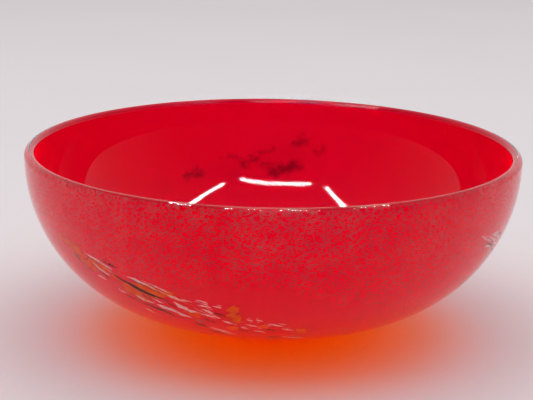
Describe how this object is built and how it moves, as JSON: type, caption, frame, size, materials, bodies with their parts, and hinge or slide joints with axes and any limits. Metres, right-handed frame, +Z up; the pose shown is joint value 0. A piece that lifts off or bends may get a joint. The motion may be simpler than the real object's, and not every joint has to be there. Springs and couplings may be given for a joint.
{
  "type": "art glass bowl",
  "caption": "Round blown glass bowl with a red lining, pale flecks and diagonal swirls of coloured shards under a thick clear casing, on a flat ground foot.",
  "frame": {"origin": "centre of the ground foot, on the surface that the bowl stands on", "axes": "+Z up along the bowl's axis, -Y towards the side with the front swirl"},
  "size_m": [0.29, 0.29, 0.11],
  "materials": {
    "red_glass": "deep red, glossy, slightly cloudy",
    "flecked_glass": "red with short pale flecks",
    "clear_glass": "clear, fire polished, ground flat at the foot",
    "white_glass": "opaque white",
    "black_glass": "opaque black",
    "orange_glass": "opaque orange",
    "grey_glass": "opaque blue-grey"
  },
  "bodies": {
    "root": {"red_inner_layer": "red_glass", "fleck_layer": "flecked_glass", "clear_casing": "clear_glass", "front_swirl_white": "white_glass", "front_swirl_black": "black_glass", "front_swirl_orange": "orange_glass", "front_swirl_grey": "grey_glass", "side_swirl_white": "white_glass", "side_swirl_black": "black_glass", "side_swirl_orange": "orange_glass", "side_swirl_grey": "grey_glass", "back_swirl_white": "white_glass", "back_swirl_black": "black_glass", "back_swirl_orange": "orange_glass", "back_swirl_grey": "grey_glass"}
  },
  "joints": []
}
